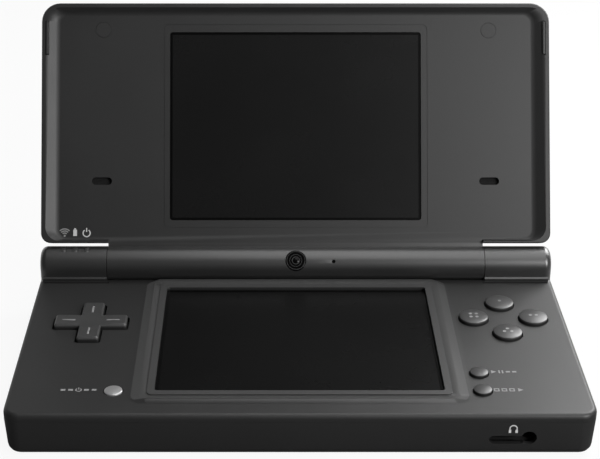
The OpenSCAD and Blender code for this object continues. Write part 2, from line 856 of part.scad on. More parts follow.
// Room inside the rim, down to the inner panel, with sloping sides
module lid_recess() {
    panel_size = [lid_w - 8.4, 61.1];
    rim_size = [lid_w - 2.4, 63.1];
    panel_end = lid_end - 2.6;
    rim_r = lid_r - 1.1;
    hull() {
        plate([0, panel_end - panel_size.y / 2], panel_size, 2.6, lid_panel, 0.02);
        plate([0, panel_end + 1.5 - rim_size.y / 2], rim_size, rim_r, lid_rim, 0.02);
        plate([0, panel_end + 1.5 - rim_size.y / 2], rim_size, rim_r, lid_rim + 1, 0.02);
    }
}

// Upright cut in the middle, where the panel runs on into the barrel
module neck_recess() {
    block([-barrel_half, barrel_r - 0.3, lid_panel], [barrel_half, lid_start + 3, lid_rim + 1]);
}

module barrel_tube() {
    along_x(-barrel_half, barrel_half) difference() {
        circle(r = barrel_r);
        circle(r = barrel_r - barrel_wall);
    }
}

module lid_inner_cover() {
    frame_size = [upper_win_w + 3.4, upper_win_h + 4.2];
    color(shell_black) on_lid() difference() {
        union() {
            difference() {
                lid_form(0);
                block([-lid_w, 0, -10], [lid_w, 2 * lid_end, lid_seam]);
                lid_recess();
                neck_recess();
            }
            intersection() {
                barrel_tube();
                block([-lid_w, -10, lid_seam], [lid_w, 10, 10]);
            }
            block([-barrel_half, barrel_r - barrel_wall / 2, lid_seam],
                  [barrel_half, lid_start + 1, lid_panel]);
        }
        plate([0, upper_win_s], [upper_win_w, upper_win_h], 0.8, -5, 20);
        translate([0, upper_win_s, lid_panel - 0.12]) linear_extrude(1) difference() {
            rounded_rect(frame_size, 1.4);
            rounded_rect(frame_size - [0.5, 0.5], 1.2);
        }
        both_sides() translate([speaker_place.x, speaker_place.y, -5])
            linear_extrude(20) obround(speaker_slot.x, speaker_slot.y);
        for (p = lid_screw_place) translate([p.x, p.y, -5]) {
            cylinder(r = 0.75, h = 20);
            translate([0, 0, 5.2]) cylinder(r = 2.1, h = 10);
        }
        both_sides() block([lid_w / 2 - 1.95, 56.2, lid_rim - 0.55],
                           [lid_w / 2 - 0.95, 65.4, lid_rim + 1]);
        on_barrel(0, camera_tilt) translate([0, 0, 2]) cylinder(r = camera_r + 0.05, h = 10);
        on_barrel(mic_x, mic_tilt) translate([0, 0, 2]) cylinder(r = 0.5, h = 10);
    }
}

module lid_outer_cover() {
    color(shell_black) on_lid() difference() {
        union() {
            difference() {
                lid_form(0);
                lid_form(wall);
                block([-lid_w, 0, lid_seam - 0.1], [lid_w, 2 * lid_end, 20]);
            }
            intersection() {
                barrel_tube();
                block([-lid_w, -10, -10], [lid_w, 10, lid_seam - 0.1]);
            }
            block([-barrel_half, 0.5, -lid_back], [barrel_half, lid_start + 2.6, -lid_back + wall]);
            both_sides() block([barrel_half - 1.5, 3.6, -lid_back],
                               [barrel_half, lid_start + 1, lid_seam - 0.1]);
            for (p = lid_screw_place) translate([p.x, p.y, -lid_back + 0.5])
                cylinder(r = 2, h = lid_back + lid_seam - 0.6);
        }
        for (p = lid_screw_place) translate([p.x, p.y, -3.6]) cylinder(r = 0.71, h = 10);
        translate([back_camera.x, back_camera.y, -10]) cylinder(r = 3.1, h = 10);
        translate([back_light.x, back_light.y, -10]) cylinder(r = 0.85, h = 10);
        along_x(-barrel_half - 1, barrel_half + 1) circle(r = barrel_r - barrel_wall);
    }
}

module hinge_bushes() {
    color([0.6, 0.6, 0.56]) on_lid() both_sides() along_x(bush_end, barrel_half) difference() {
        circle(r = barrel_r - barrel_wall - 0.03);
        circle(r = pin_r + running_gap);
    }
}

module upper_display() {
    color(dark) on_lid() plate([0, upper_win_s], [upper_win_w + 4, upper_win_h + 3.6], 0.8,
                               -lid_back + wall + 0.2, lid_back - wall - 0.7);
}

module upper_window() {
    color(glass_black) on_lid() plate([0, upper_win_s], [upper_win_w - 0.1, upper_win_h - 0.1],
                                      0.75, lid_seam, lid_panel - lid_seam - 0.35);
}

// Oblong speaker with its cone set in a frame
module speaker() {
    translate([speaker_place.x, speaker_place.y, -3.3]) {
        plate([0, 0], [9.6, 15], 2, 0, 2);
        plate([0, 0], [7, 12], 2.5, 2, 0.6);
    }
}

module speaker_left() {
    color(dark) on_lid() mirror([1, 0, 0]) speaker();
}

module speaker_right() {
    color(dark) on_lid() speaker();
}

module speaker_meshes() {
    color(dark) on_lid() both_sides()
        plate(speaker_place, [7.4, 4], 1, -0.6, 0.35);
}

module inner_camera() {
    color(dark) on_lid() on_barrel(0, camera_tilt) {
        translate([-2.4, -2, 0.4]) cube([4.8, 4, 2]);
        translate([0, 0, 2.3]) cylinder(r = 1.7, h = 1.2);
    }
}

// Clear disc sunk into the front of the barrel
module inner_camera_window() {
    color(glass_black) on_lid() on_barrel(0, camera_tilt)
        translate([0, 0, 3.6]) cylinder(r = camera_r, h = 0.75);
}

module microphone() {
    color(steel) on_lid() on_barrel(mic_x, mic_tilt) translate([0, 0, 1]) cylinder(r = 1.5, h = 1.9);
}

module outer_camera() {
    color(dark) on_lid() {
        plate(back_camera, [7.4, 7.4], 0.6, -3.5, 2.6);
        translate([back_camera.x, back_camera.y, -4]) cylinder(r = 2, h = 0.6);
    }
}

module outer_camera_window() {
    color(glass_black) on_lid()
        translate([back_camera.x, back_camera.y, -lid_back + 0.05]) cylinder(r = 3.05, h = 0.7);
}

module camera_light() {
    color([0.7, 0.6, 0.6]) on_lid()
        translate([back_light.x, back_light.y, -lid_back + 0.02]) cylinder(r = 0.8, h = 1.6);
}

// Magnet that tells the base that the lid is shut
module lid_magnet() {
    color(steel) on_lid() translate([-58, 13, -3.5]) cylinder(r = 2.4, h = 1.2);
}

module lid_screws() {
    color(steel) on_lid() for (p = lid_screw_place) translate([p.x, p.y, -3.2]) {
        cylinder(r = 0.7, h = 3.6);
        translate([0, 0, 3.45]) cylinder(r = 1.5, h = 0.4);
    }
}

module lid_screw_covers() {
    color(rubber_grey) on_lid() for (p = lid_screw_place)
        translate([p.x, p.y, lid_panel - 0.3]) cylinder(r = 2.05, h = 0.3);
}

// Thin rubber strips let into the rim near its free corners
module lid_side_pads() {
    color(rubber_grey) on_lid() both_sides()
        block([lid_w / 2 - 1.9, 56.3, lid_rim - 0.5], [lid_w / 2 - 1, 65.3, lid_rim + 0.15]);
}

base_top_cover();
base_bottom_cover();
battery_cover();
battery_cover_screws();
base_screws();
rubber_feet();
battery();
main_board();
wireless_board();
lower_display();
touch_window();
dpad_membrane();
dpad_pivot();
dpad();
face_button_membrane();
face_button_top();
face_button_right();
face_button_bottom();
face_button_left();
small_button_membrane();
start_button();
select_button();
power_button();
power_switch();
headphone_jack();
charging_socket();
card_slot();
memory_card_reader();
memory_card_door();
stylus_holder();
stylus();
volume_rocker();
volume_switch();
shoulder_button_left();
shoulder_button_right();
shoulder_pins();
shoulder_springs();
shoulder_switches();
hinge_clutch();
hinge_pin();
status_lights();
lid_outer_cover();
lid_inner_cover();
hinge_bushes();
upper_display();
upper_window();
speaker_left();
speaker_right();
speaker_meshes();
inner_camera();
inner_camera_window();
microphone();
outer_camera();
outer_camera_window();
camera_light();
lid_magnet();
lid_screws();
lid_screw_covers();
lid_side_pads();
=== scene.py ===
"""Looks for a clamshell handheld game console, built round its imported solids."""

import json
import math

import bmesh
import bpy
from mathutils import Matrix, Vector


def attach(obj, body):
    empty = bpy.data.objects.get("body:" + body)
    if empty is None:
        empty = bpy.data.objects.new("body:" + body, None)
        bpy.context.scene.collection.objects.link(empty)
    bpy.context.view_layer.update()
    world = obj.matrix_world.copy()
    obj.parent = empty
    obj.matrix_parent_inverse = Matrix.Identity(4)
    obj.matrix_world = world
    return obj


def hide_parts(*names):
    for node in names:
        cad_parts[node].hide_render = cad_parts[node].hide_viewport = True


bl_info = {
    "name": "Clamshell handheld console",
    "version": (1, 0, 0),
    "blender": (4, 5, 0),
    "location": "3D View > Sidebar > Console",
    "description": "Finishes, printed marks and fine parts of a clamshell handheld console",
    "category": "Object",
}

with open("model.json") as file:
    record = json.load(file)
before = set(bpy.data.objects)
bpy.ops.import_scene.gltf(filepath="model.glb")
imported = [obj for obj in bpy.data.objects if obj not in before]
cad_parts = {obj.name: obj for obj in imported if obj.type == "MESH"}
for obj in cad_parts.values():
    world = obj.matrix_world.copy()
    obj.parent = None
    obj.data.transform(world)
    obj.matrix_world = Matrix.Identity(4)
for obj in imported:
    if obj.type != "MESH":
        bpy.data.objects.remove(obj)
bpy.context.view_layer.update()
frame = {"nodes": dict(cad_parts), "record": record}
NODES = frame["nodes"]
MM = 0.001

# Places shared with the solids, in millimetres
HINGE = Vector((0, 32.75, 14.45))
LID_OPEN = 117.2
BARREL_R = 4.7
DECK_Z = 11.7
SEAM_Z = 9.7
BEZEL_HALF = 39.5
BEZEL_REAR = 28.2
BEZEL_FRONT = -31.2
DPAD = Vector((-52.3, 4.85))
DPAD_TOP = 12.95
FACE = Vector((52.6, 7.2))
FACE_PITCH = 7.6
FACE_TOP = 12.9
FACE_DOME_R = 18.7
# Height below which the buttons' sides get painted shade
BUTTON_PAINTED_SHADE_Z = 12.15
FRONT_Y = -37.45
FRONT_LEAN = 2.2
UPPER_WINDOW = (0, 37.1, 67.7, 50.8)
LOWER_WINDOW = (0, -2.15, 68.2, 51.1)
LOWER_GLASS_Z = 11.28
UPPER_GLASS_Z = 0.65
CAMERA_TILT = 10.8
MICROPHONE = (10.1, 6.9)
BACK_CAMERA = (57, 53)
SPEAKER = (52.2, 22.2)
LID_PANEL = 1.0
LID_BACK = -4.84
CASE_SCREWS = ((-61.5, -26), (61.5, -26), (-61.5, 20), (61.8, -13))
REAR_SCREWS = ((-40, 29.3), (40, 29.3))
COVER_SCREWS = ((-51.6, 21.7), (-33.6, 21.7))

# How a solid's mesh is cleaned and eased: millimetres, then degrees
WELD = 0.004
NEAR_SEAM = 0.15
FLAT = 1.0
CREASE = 30
FILLET_STEPS = 5

# A printed mark's thickness, and how much of it lies below the surface, in millimetres
INK_RISE = 0.06
INK_SUNK = 0.02

# How far the finishes of the barrel and of the lower window's frame reach, and how high above
# the deck the frame's painted highlight starts, in millimetres
BARREL_REACH = 1.0
BEZEL_GAP = 0.25
BEZEL_FOOT = 0.06
BEZEL_HIGHLIGHT_RISE = 0.2

# The lid's slope and rim, in its own frame: half widths, distances up the lid and heights
PANEL_HALF = 60.5
PANEL_END = 65.6
RIDGE_HALF = 66
RIDGE_END = 56.3
RIDGE_HEIGHTS = (1.8, 2.45)

# The camera: millimetres, degrees and shares of the sensor
CAMERA_PLACE = Vector((-7.305, -327.12, 200.20))
CAMERA_PITCH = 64.73
CAMERA_SHIFT = (0.0526, -0.032)

# Each lamp's name, place and size in metres, and the setting that holds its power
LAMPS = (
    ("front", (0.33, -0.36, 0.28), (0.22, 0.22), "front_power"),
    ("corner", (0.215, 0.195, 0.17), (0.20, 0.20), "corner_power"),
    ("rear", (0.30, 0.30, 0.38), (0.30, 0.30), "side_power"),
    ("top", (0.09, 0.01, 0.48), (0.56, 0.30), "top_power"))
LAMP_AIM = Vector((0, 0, 0.03))

# How white the floor is, how much of it the shells mirror, and where that share sets in
FLOOR_WHITE = 0.92
FLOOR_MIRRORED = 0.55
FLOOR_EDGE = 0.04
FLOOR_BLEND = 0.09

# Where the pale wall fades in, along the direction's Y, and out, up its Z
WALL_BEHIND = (0.2, 0.5)
WALL_LOW = (0.42, 0.3)

# The finishes by name, which the first operator makes
FINISHES = {}


# ---------- Where things are ----------

def lid_matrix(x=0, s=0, z=0):
    """From the lid lying flat on its back, hinge axis on X, to the open lid, in metres."""
    turn = Matrix.Rotation(math.radians(180 - LID_OPEN), 4, "X")
    return (Matrix.Translation(HINGE * MM) @ turn @ Matrix.Scale(MM, 4)
            @ Matrix.Translation((x, s, z)))


def barrel_matrix(x, tilt):
    """From a Z axis that points out of the hinge barrel to the open lid."""
    return lid_matrix(x) @ Matrix.Rotation(math.radians(-tilt), 4, "X")


def base_matrix(x, y, z):
    """From millimetres round a place in the base to metres."""
    return Matrix.Scale(MM, 4) @ Matrix.Translation((x, y, z))


def front_matrix(x, z, depth):
    """From a Z axis that points out of the base's front wall, Y up the wall."""
    return (base_matrix(x, FRONT_Y + depth, z)
            @ Matrix.Rotation(math.radians(90 + FRONT_LEAN), 4, "X"))


# ---------- Shader maths ----------

class Value:
    """A node's output socket, so that shader maths reads as an expression."""

    def __init__(self, finish, socket):
        self.finish = finish
        self.socket = socket

    def _with(self, operation, *terms):
        return self.finish.node("ShaderNodeMath", {"operation": operation},
                                {i: term for i, term in enumerate(terms)})[0]

    def __add__(self, other):
        return self._with("ADD", self, other)

    __radd__ = __add__

    def __sub__(self, other):
        return self._with("SUBTRACT", self, other)

    def __rsub__(self, other):
        return self._with("SUBTRACT", other, self)

    def __mul__(self, other):
        return self._with("MULTIPLY", self, other)

    __rmul__ = __mul__

    def __truediv__(self, other):
        return self._with("DIVIDE", self, other)

    def __pow__(self, other):
        return self._with("POWER", self, other)

    def __lt__(self, other):
        return self._with("LESS_THAN", self, other)

    def __gt__(self, other):
        return self._with("GREATER_THAN", self, other)

    def absolute(self):
        return self._with("ABSOLUTE", self)

    def clamped(self, low, high):
        return self._with("MAXIMUM", self._with("MINIMUM", self, high), low)


class Finish:
    """One procedural material, built node by node."""

    def __init__(self, name, **constants):
        self.material = bpy.data.materials.new(name)
        self.material.use_nodes = True
        self.tree = self.material.node_tree
        self.tree.nodes.clear()
        self.shader = self.tree.nodes.new("ShaderNodeBsdfPrincipled")
        self.output = self.tree.nodes.new("ShaderNodeOutputMaterial")
        self.tree.links.new(self.shader.outputs[0], self.output.inputs["Surface"])
        for socket, value in constants.items():
            self.shader.inputs[socket.replace("_", " ")].default_value = value
        self._position = None

    def node(self, kind, settings=None, inputs=None):
        """Adds a node, sets it up, fills its inputs and gives its outputs."""
        node = self.tree.nodes.new(kind)
        for name, value in (settings or {}).items():
            setattr(node, name, value)
        for key, value in (inputs or {}).items():
            self.fill(node.inputs[key], value)
        return [Value(self, socket) for socket in node.outputs]

    def fill(self, socket, value):
        """Links a node's output to a socket, or sets the socket to a constant."""
        if isinstance(value, Value):
            self.tree.links.new(value.socket, socket)
        else:
            socket.default_value = value

    def feed(self, **inputs):
        """Fills the shader's inputs, named with underscores for their spaces."""
        for key, value in inputs.items():
            self.fill(self.shader.inputs[key.replace("_", " ")], value)
        return self

    @property
    def position(self):
        """Object coordinates, in metres."""
        if self._position is None:
            self._position = self.node("ShaderNodeTexCoord")[3]
        return self._position

    def axes(self):
        return self.node("ShaderNodeSeparateXYZ", None, {0: self.position})

    def noise(self, scale, detail=2.0, roughness=0.5, distortion=0.0):
        return self.node("ShaderNodeTexNoise", None, {
            "Vector": self.position, "Scale": scale, "Detail": detail,
            "Roughness": roughness, "Distortion": distortion})[0]

    def cells(self, scale, feature="F1"):
        return self.node("ShaderNodeTexVoronoi", {"feature": feature},
                         {"Vector": self.position, "Scale": scale})[0]

    def blend(self, factor, low, high):
        """A colour between two, by a factor."""
        return self.node("ShaderNodeMix", {"data_type": "RGBA"},
                         {0: factor, 6: low, 7: high})[2]

    def bump(self, height, distance):
        return self.node("ShaderNodeBump", None, {
            "Strength": 1.0, "Distance": distance, "Height": height})[0]


def grey(level, warm=0.0):
    """A linear grey with a slight cast, as a colour."""
    return (level * (1 + warm), level, level * (1 - warm), 1)


def mottled(finish, level):
    """A slow noise, and a grey that it makes faintly uneven."""
    cloud = finish.noise(60, 3)
    return cloud, finish.blend(cloud, grey(level * 0.9), grey(level * 1.12))


def plastic(name, level, roughness, grain, grain_depth):
    """Moulded plastic with a fine spark-eroded grain and faint, uneven polish."""
    finish = Finish(name, IOR=1.5)
    cloud, tone = mottled(finish, level)
    fine = finish.noise(grain, 2, 0.6)
    return finish.feed(
        Base_Color=tone,
        Roughness=roughness - 0.05 + 0.06 * cloud + 0.06 * fine,
        Normal=finish.bump(fine, grain_depth))


def shell_plastic(look):
    """The shells' grain, smoother on the hinge barrel and on the lower window's frame, whose
    flat top gets a paler grey as a painted highlight.
    """
    finish = Finish("shell_black", IOR=1.5, Coat_Roughness=0.36)
    x, y, z = finish.axes()
    across = (y - HINGE.y * MM) ** 2 + (z - HINGE.z * MM) ** 2
    barrel = across < ((BARREL_R + BARREL_REACH) * MM) ** 2
    bezel = ((z > (DECK_Z + BEZEL_FOOT) * MM) * (x.absolute() < BEZEL_HALF * MM)
             * (y < BEZEL_REAR * MM) * (across > ((BARREL_R + BEZEL_GAP) * MM) ** 2))
    smooth = (barrel + bezel).clamped(0, 1)
    # Painted highlight: the flat top of the lower window's frame is painted a paler grey than
    # the shell, standing in for the light it catches.
    painted_highlight_on_bezel_top = bezel * (z > (DECK_Z + BEZEL_HIGHLIGHT_RISE) * MM) * (y > BEZEL_FRONT * MM)
    cloud, tone = mottled(finish, look.shell_level)
    wipe = finish.noise(22, 4, 0.6, 0.8)
    fine = finish.noise(5200, 2, 0.6)
    rough = look.shell_roughness - 0.07 + 0.05 * cloud + 0.06 * fine + 0.05 * wipe
    return finish.feed(
        Base_Color=finish.blend(painted_highlight_on_bezel_top, tone, grey(look.bezel_highlight_level)),
        Roughness=rough - look.smoother * smooth,
        Coat_Weight=look.barrel_coat * barrel,
        Normal=finish.bump(fine * (1 - 0.6 * smooth), 0.000012))


def button_plastic(look):
    """The buttons' plastic, worn satin on top, with painted shade darkening it down the sides.
    """
    finish = Finish("button_black", IOR=1.5)
    height = finish.axes()[2]
    # Painted shade: the sides between the seam and this height are painted near black, standing
    # in for the shadow round each button's foot.
    side = (height < BUTTON_PAINTED_SHADE_Z * MM) * (height > SEAM_Z * MM)
    cloud, tone = mottled(finish, look.button_level)
    fine = finish.noise(9000, 2, 0.6)
    return finish.feed(
        Base_Color=finish.blend(side, tone, grey(look.button_level * 0.1)),
        Roughness=look.button_roughness - 0.05 + 0.06 * cloud + 0.06 * fine + 0.4 * side,
        Normal=finish.bump(fine, 0.000005))


def metal(name, level, roughness, warm=0.0):
    """Plated or machined steel with fine turning lines."""
    finish = Finish(name, Metallic=1.0)
    cloud = finish.noise(400, 3)
    lines = finish.noise(3000, 2, 0.6)
    return finish.feed(
        Base_Color=finish.blend(cloud, grey(level * 0.85, warm), grey(level, warm)),
        Roughness=roughness + 0.15 * cloud,
        Normal=finish.bump(lines, 0.00001))


def glass(name, low, high, roughness, haze, ior=1.45):
    """Dark window over a display that is off, with faint smears."""
    finish = Finish(name, IOR=ior)
    smear = finish.noise(35, 4, 0.6)
    return finish.feed(
        Base_Color=finish.blend(smear, grey(low), grey(high)),
        Roughness=roughness + haze * smear)


def ink(name, level):
    finish = Finish(name)
    wear = finish.noise(2600, 3)
    return finish.feed(
        Base_Color=finish.blend(wear, grey(level * 0.85), grey(level)),
        Roughness=0.5 + 0.15 * wear)


def make_finishes(look):
    made = {}
    made["shell_black"] = shell_plastic(look)
    made["button_black"] = button_plastic(look)
    made["inner_plastic"] = plastic("inner_plastic", 0.012, 0.5, 3000, 0.00001)
    made["rubber"] = plastic("rubber", 0.018, 0.62, 2500, 0.000015)
    made["battery_wrap"] = plastic("battery_wrap", 0.03, 0.3, 1500, 0.000006)
    made["display_module"] = plastic("display_module", 0.01, 0.4, 3000, 0.000004)
    made["screw_steel"] = metal("screw_steel", 0.5, 0.28)
    made["switch_metal"] = metal("switch_metal", 0.62, 0.24, 0.02)

    silver = plastic("power_silver", look.power_level, 0.3, 14000, 0.000003)
    silver.shader.inputs["Metallic"].default_value = 0.6
    made["power_silver"] = silver

    board = Finish("circuit_board", Coat_Weight=0.4, Coat_Roughness=0.15)
    copper = board.cells(900, "DISTANCE_TO_EDGE") < 0.06
    made["circuit_board"] = board.feed(
        Base_Color=board.blend(copper, (0.01, 0.07, 0.03, 1), (0.02, 0.13, 0.05, 1)),
        Roughness=0.35 + 0.1 * board.noise(500), Normal=board.bump(copper, 0.00002))

    made["window_glass"] = glass("window_glass", 0.0045, 0.0060, 0.24, 0.06, 1.36)
    made["touch_film"] = glass("touch_film", 0.0026, 0.0038, look.touch_roughness, 0.06, 1.28)
    made["window_border"] = glass("window_border", 0.0006, 0.0010, 0.22, 0.06, 1.3)
    made["lens_glass"] = glass("lens_glass", 0.0008, 0.0014, 0.14, 0.04, 1.25)

    cloth = Finish("speaker_cloth")
    weave = cloth.cells(4200)
    made["speaker_cloth"] = cloth.feed(
        Base_Color=cloth.blend(weave, grey(0.003), grey(0.001)),
        Roughness=0.9 - 0.1 * cloth.noise(3000),
        Normal=cloth.bump(weave, 0.0001))

    light = Finish("light_guide", IOR=1.49, Coat_Weight=0.3)
    haze = light.noise(900, 2)
    made["light_guide"] = light.feed(
        Base_Color=light.blend(haze, grey(0.03), grey(0.06)),
        Roughness=0.22 + 0.1 * haze)

    made["pale_ink"] = ink("pale_ink", look.ink_level)
    # This grey serves the printed marks and the painted highlights in the pad's grooves.
    made["dim_ink"] = ink("dim_ink", look.ink_level * 0.45)
    made["dark_ring"] = plastic("dark_ring", 0.006, 0.5, 9000, 0.000003)
    made["plug_rubber"] = plastic("plug_rubber", look.shell_level, 0.5, 3500, 0.00001)
    return made


# ---------- Small shapes, in millimetres ----------

def bevel(shape, edges, width, segments=2):
    """Rounds the given edges of a shape."""
    bmesh.ops.bevel(shape, geom=edges, offset=width, offset_type="OFFSET",
                    segments=segments, profile=0.5, affect="EDGES",
                    clamp_overlap=True, material=-1)


def sharp_edges(shape, angle):
    """The edges of a shape whose faces meet at more than an angle, in degrees."""
    return [edge for edge in shape.edges
            if edge.is_manifold and edge.calc_face_angle(0) > math.radians(angle)]


def eased(shape, width, angle=30):
    """Rounds a shape's sharp edges."""
    sharp = sharp_edges(shape, angle)
    if width and sharp:
        bevel(shape, sharp, width)
    return shape


def bar(size, ease=0.0):
    """A block standing on the XY plane."""
    shape = bmesh.new()
    bmesh.ops.create_cube(shape, size=1)
    bmesh.ops.scale(shape, vec=size, verts=shape.verts)
    bmesh.ops.translate(shape, vec=(0, 0, size[2] / 2), verts=shape.verts)
    return eased(shape, ease)


def disc(radius, height, sides=32, top=None, ease=0.0):
    """A round or many-sided plate standing on the XY plane."""
    shape = bmesh.new()
    bmesh.ops.create_cone(shape, cap_ends=True, segments=sides, radius1=radius,
                          radius2=radius if top is None else top, depth=height)
    bmesh.ops.translate(shape, vec=(0, 0, height / 2), verts=shape.verts)
    return eased(shape, ease, 50)


def ring(radius, width, height, start=0, sweep=360, steps=32, ease=0.0):
    """A flat ring, or an arc of one, standing on the XY plane."""
    shape = bmesh.new()
    bmesh.ops.create_grid(shape, x_segments=1, y_segments=1, size=0.5)
    bmesh.ops.scale(shape, vec=(width, height, 1), verts=shape.verts)
    bmesh.ops.rotate(shape, matrix=Matrix.Rotation(math.radians(90), 3, "X"),
                     verts=shape.verts)
    bmesh.ops.translate(shape, vec=(radius, 0, height / 2), verts=shape.verts)
    bmesh.ops.rotate(shape, matrix=Matrix.Rotation(math.radians(start), 3, "Z"),
                     verts=shape.verts)
    full = sweep == 360
    if full:
        bmesh.ops.delete(shape, geom=shape.faces[:], context="FACES_ONLY")
    bmesh.ops.spin(shape, geom=shape.verts[:] + shape.edges[:] + shape.faces[:],
                   axis=(0, 0, 1), angle=math.radians(sweep), steps=steps, use_merge=full)
    bmesh.ops.recalc_face_normals(shape, faces=shape.faces)
    return eased(shape, ease)


def border(width, height, corner, rim, rise):
    """A flat frame with rounded corners, standing on the XY plane."""
    shape = bmesh.new()
    bmesh.ops.create_grid(shape, x_segments=1, y_segments=1, size=0.5)
    bmesh.ops.scale(shape, vec=(width, height, 1), verts=shape.verts)
    bmesh.ops.bevel(shape, geom=shape.verts[:], offset=corner, offset_type="OFFSET",
                    segments=6, profile=0.5, affect="VERTICES", material=-1)
    inner = shape.faces[:]
    rim_faces = bmesh.ops.inset_region(shape, faces=inner, thickness=rim, use_boundary=True,
                                       use_even_offset=True)["faces"]
    bmesh.ops.delete(shape, geom=inner, context="FACES")
    raised = bmesh.ops.extrude_face_region(shape, geom=rim_faces)["geom"]
    bmesh.ops.translate(shape, vec=(0, 0, rise),
                        verts=[v for v in raised if isinstance(v, bmesh.types.BMVert)])
    return shape


def cross_head(radius, height, shank_r, shank):
    """A screw's head with a cross sunk into its top, on a shank that points down."""
    head = disc(radius, height, 32, radius * 0.9, 0.15)
    reach, slot = radius * 0.6, radius * 0.16
    for axis in ((1, 0, 0), (0, 1, 0)):
        for place in (-reach, -slot, slot, reach):
            bmesh.ops.bisect_plane(head, geom=head.verts[:] + head.edges[:] + head.faces[:],
                                   plane_co=Vector(axis) * place, plane_no=axis)
    def in_cross(face):
        middle = face.calc_center_median()
        x, y = abs(middle.x), abs(middle.y)
        return (face.normal.z > 0.9 and middle.z > height * 0.9
                and max(x, y) < reach and min(x, y) < slot)
    sunk = bmesh.ops.extrude_face_region(
        head, geom=[face for face in head.faces if in_cross(face)])["geom"]
    bmesh.ops.translate(head, vec=(0, 0, -height * 0.55),
                        verts=[v for v in sunk if isinstance(v, bmesh.types.BMVert)])
    stem = disc(shank_r, shank, 16)
    bmesh.ops.translate(stem, vec=(0, 0, -shank), verts=stem.verts)
    return head, stem


def put(mesh, shape, place, at=(0, 0), turn=0):
    """Moves a finished shape to its place and adds it to a mesh."""
    spot = (place @ Matrix.Translation((at[0], at[1], 0))
            @ Matrix.Rotation(math.radians(turn), 4, "Z"))
    bmesh.ops.transform(shape, matrix=spot, verts=shape.verts)
    bmesh.ops.recalc_face_normals(shape, faces=shape.faces)
    data = bpy.data.meshes.new("shape")
    shape.to_mesh(data)
    shape.free()
    mesh.from_mesh(data)
    bpy.data.meshes.remove(data)


# ---------- Pieces ----------

def finished_mesh(name, mesh, finish, body, weighted=False):
    """Turns a bmesh into a piece with its finish, riding on a body."""
    data = bpy.data.meshes.new(name)
    mesh.to_mesh(data)
    mesh.free()
    data.materials.append(FINISHES[finish].material)
    data.shade_smooth()
    data.set_sharp_from_angle(angle=math.radians(CREASE))
    piece = bpy.data.objects.new(name, data)
    bpy.context.scene.collection.objects.link(piece)
    if weighted:
        even = piece.modifiers.new("even_shading", "WEIGHTED_NORMAL")
        even.mode = "FACE_AREA"
        even.weight = 100
        even.keep_sharp = True
    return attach(piece, body)


def body_of(node):
    for body, members in frame["record"]["behaviour"]["bodies"].items():
        if node in members:
            return body
    raise ValueError(f"no body holds {node}")


def slot_of(node):
    for part in frame["record"]["subparts"]:
        if part["node"] == node:
            return part["material_slot"]
    raise ValueError(f"no subpart is named {node}")


def softened(node, width, angle=25, segments=2, seam=None, finish=None, fillets=()):
    """Puts a copy of a node in its place, its sharp edges eased, but not those at its seam.

    Each fillet is a test for edges and the width that they are rounded by first.
    """
    mesh = bmesh.new()
    mesh.from_mesh(NODES[node].data)
    bmesh.ops.remove_doubles(mesh, verts=mesh.verts, dist=WELD * MM)
    bmesh.ops.dissolve_limit(mesh, angle_limit=math.radians(FLAT), verts=mesh.verts,
                             edges=mesh.edges)
    for test, reach in fillets:
        bevel(mesh, [edge for edge in mesh.edges if edge.is_manifold and test(edge)],
              reach * MM, FILLET_STEPS)

    def at_seam(edge):
        return seam is not None and all(
            abs(v.co.z - seam * MM) < NEAR_SEAM * MM for v in edge.verts)

    bevel(mesh, [edge for edge in sharp_edges(mesh, angle) if not at_seam(edge)],
          width * MM, segments)
    slot = slot_of(node)
    piece = finished_mesh(node + "_finished", mesh, finish or slot, body_of(node),
                          weighted=True)
    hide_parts(node)


# ---------- Settings ----------

class ConsoleLook(bpy.types.PropertyGroup):
    """Greys, roughnesses and sheen of the finishes"""
    shell_level: bpy.props.FloatProperty(
        name="Shell grey", description="Linear grey of the moulded shells",
        default=0.014, min=0.005, max=0.8)
    # Paler grey painted on the flat top of the lower window's frame, as a painted highlight
    bezel_highlight_level: bpy.props.FloatProperty(
        name="Frame grey", description="Linear grey of the lower window's raised frame",
        default=0.045, min=0.005, max=0.8)
    shell_roughness: bpy.props.FloatProperty(
        name="Shell roughness", description="Roughness of the moulded shells",
        default=0.46, min=0.1, max=1)
    smoother: bpy.props.FloatProperty(
        name="Smoother parts", description="How much smoother the barrel and the frame are",
        default=0.12, min=0, max=0.4)
    barrel_coat: bpy.props.FloatProperty(
        name="Barrel sheen", description="Weight of the soft sheen on the hinge barrel",
        default=1.0, min=0, max=1)
    button_level: bpy.props.FloatProperty(
        name="Button grey", description="Linear grey of the buttons",
        default=0.045, min=0.005, max=0.8)
    button_roughness: bpy.props.FloatProperty(
        name="Button roughness", description="Roughness of the buttons",
        default=0.3, min=0.1, max=1)
    power_level: bpy.props.FloatProperty(
        name="Power button grey", description="Linear grey of the silver power button",
        default=0.45, min=0.05, max=0.9)
    touch_roughness: bpy.props.FloatProperty(
        name="Touch window roughness", description="Roughness of the lower window",
        default=0.24, min=0.05, max=1)
    # Also sets the grey of the painted highlights in the pad's grooves
    ink_level: bpy.props.FloatProperty(
        name="Ink grey", description="Linear grey of the printed marks",
        default=0.55, min=0.02, max=0.9)


